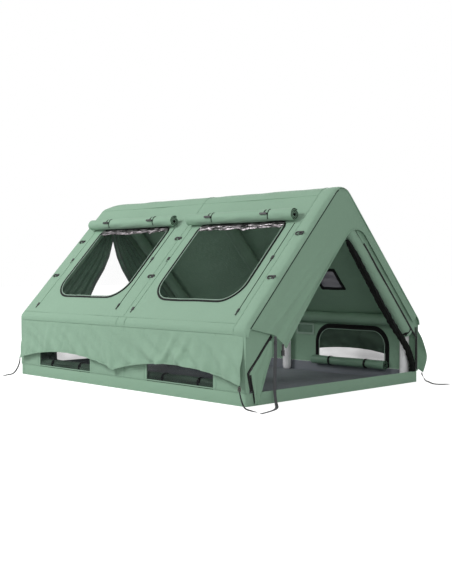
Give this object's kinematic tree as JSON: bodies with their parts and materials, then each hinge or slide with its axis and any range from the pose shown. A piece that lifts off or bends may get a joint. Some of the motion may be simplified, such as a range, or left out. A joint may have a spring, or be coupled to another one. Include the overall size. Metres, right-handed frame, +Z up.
{
  "type": "inflatable tent",
  "caption": "Ridge tent on inflated beams with low side walls, film windows in one slope, an A-shaped front door with awning panel and a rear curtain door.",
  "frame": {"origin": "on the ground at the middle of the floor", "axes": "+Z up, +Y from the front door to the rear door, +X to the slope without film windows"},
  "size_m": [2.5942, 3.3227, 1.6738],
  "materials": {
    "shell": "sage green coated canvas, fine plain weave, soft sheen",
    "hood": "sage green coated canvas of the front hood and awning panel",
    "inner": "dark green inner face of the canvas",
    "sleeve": "dark green canvas sleeve over an air tube",
    "leg": "off-white air tube, satin",
    "floor": "dark grey coated floor cloth with a green rim outside",
    "film": "clear flexible film with a black and white welt",
    "zip": "black zip tape and binding",
    "net": "black insect net",
    "webbing": "charcoal flat webbing",
    "hardware": "black moulded plastic"
  },
  "bodies": {
    "tent": {"ridge_beam": "sleeve", "eave_beam_left": "sleeve", "eave_beam_right": "sleeve", "leg_front_left": "leg", "leg_front_right": "leg", "leg_middle_left": "leg", "leg_middle_right": "leg", "leg_rear_left": "leg", "leg_rear_right": "leg", "rafter_front_left": "sleeve", "rafter_front_right": "sleeve", "rafter_middle_left": "sleeve", "rafter_middle_right": "sleeve", "rafter_rear_left": "sleeve", "rafter_rear_right": "sleeve", "groundsheet": "floor", "wall_left": "shell", "wall_right": "shell", "vent_panel_front_left": "net", "vent_panel_front_right": "net", "vent_panel_rear_left": "net", "vent_panel_rear_right": "net", "vent_roll_front_left": "inner", "vent_roll_front_right": "inner", "vent_roll_rear_left": "inner", "vent_roll_rear_right": "inner", "roof_left": "shell", "roof_right": "shell", "ridge_cover": "shell", "hatch_pane": "zip", "skirt_left": "shell", "skirt_right": "shell", "front_hood": "hood", "front_wall_left": "shell", "front_wall_right": "shell", "door_roll_right": "shell", "mesh_roll_right": "net", "rear_gable": "shell", "rear_curtain_left": "inner", "rear_curtain_right": "inner", "window_pane_front": "film", "window_pane_rear": "film", "cover_roll_front": "shell", "cover_roll_rear": "shell", "corner_strap_front_left": "webbing", "corner_strap_rear_left": "webbing", "corner_strap_front_right": "webbing"},
    "awning": {"canopy_left": "hood", "canopy_strap": "webbing", "buckle_socket": "hardware"},
    "buckle_male": {"buckle_plug": "hardware"},
    "door_leaf": {"door_flap_left": "shell"},
    "cap": {"valve_cap": "hardware"},
    "toggle_front_outer": {"roll_toggle_front_outer": "hardware"},
    "toggle_front_inner": {"roll_toggle_front_inner": "hardware"},
    "toggle_rear_outer": {"roll_toggle_rear_outer": "hardware"},
    "toggle_rear_inner": {"roll_toggle_rear_inner": "hardware"},
    "zip_front": {"cover_zip_slider_front": "hardware"},
    "zip_rear": {"cover_zip_slider_rear": "hardware"},
    "zip_door": {"door_zip_slider": "hardware"}
  },
  "joints": [
    {"name": "awning_lift", "type": "hinge", "parent": "tent", "child": "awning", "pos_m": [-0.66057, -1.52, 0.98467], "axis": [-0.6838, 0, -0.7297], "range_deg": [0, 80]},
    {"name": "buckle_release", "type": "slide", "parent": "awning", "child": "buckle_male", "axis": [0, 0, -1], "range_m": [0, 0.03]},
    {"name": "door_leaf_swing", "type": "hinge", "parent": "tent", "child": "door_leaf", "pos_m": [-0.8412, -1.5033, 0.4687], "axis": [-0.6838, 0, -0.7297], "range_deg": [0, 50]},
    {"name": "valve_cap_lift", "type": "hinge", "parent": "tent", "child": "cap", "pos_m": [-1.0322, 1.5033, 0.339], "axis": [1, 0, 0], "range_deg": [0, 110]},
    {"name": "toggle_front_outer_turn", "type": "hinge", "parent": "tent", "child": "toggle_front_outer", "pos_m": [-0.39218, -1.013, 1.44833], "axis": [-0.9738, 0, 0.2273], "range_deg": [-90, 90]},
    {"name": "toggle_front_inner_turn", "type": "hinge", "parent": "tent", "child": "toggle_front_inner", "pos_m": [-0.39218, -0.353, 1.44833], "axis": [-0.9738, 0, 0.2273], "range_deg": [-90, 90]},
    {"name": "toggle_rear_outer_turn", "type": "hinge", "parent": "tent", "child": "toggle_rear_outer", "pos_m": [-0.39218, 1.093, 1.44833], "axis": [-0.9738, 0, 0.2273], "range_deg": [-90, 90]},
    {"name": "toggle_rear_inner_turn", "type": "hinge", "parent": "tent", "child": "toggle_rear_inner", "pos_m": [-0.39218, 0.433, 1.44833], "axis": [-0.9738, 0, 0.2273], "range_deg": [-90, 90]},
    {"name": "cover_zip_front_slide", "type": "slide", "parent": "tent", "child": "zip_front", "axis": [0.6838, 0, 0.7297], "range_m": [0, 0.9]},
    {"name": "cover_zip_rear_slide", "type": "slide", "parent": "tent", "child": "zip_rear", "axis": [0.6838, 0, 0.7297], "range_m": [0, 0.9]},
    {"name": "door_zip_slide", "type": "slide", "parent": "tent", "child": "zip_door", "axis": [0.6838, 0, 0.7297], "range_m": [0, 1.2]}
  ]
}
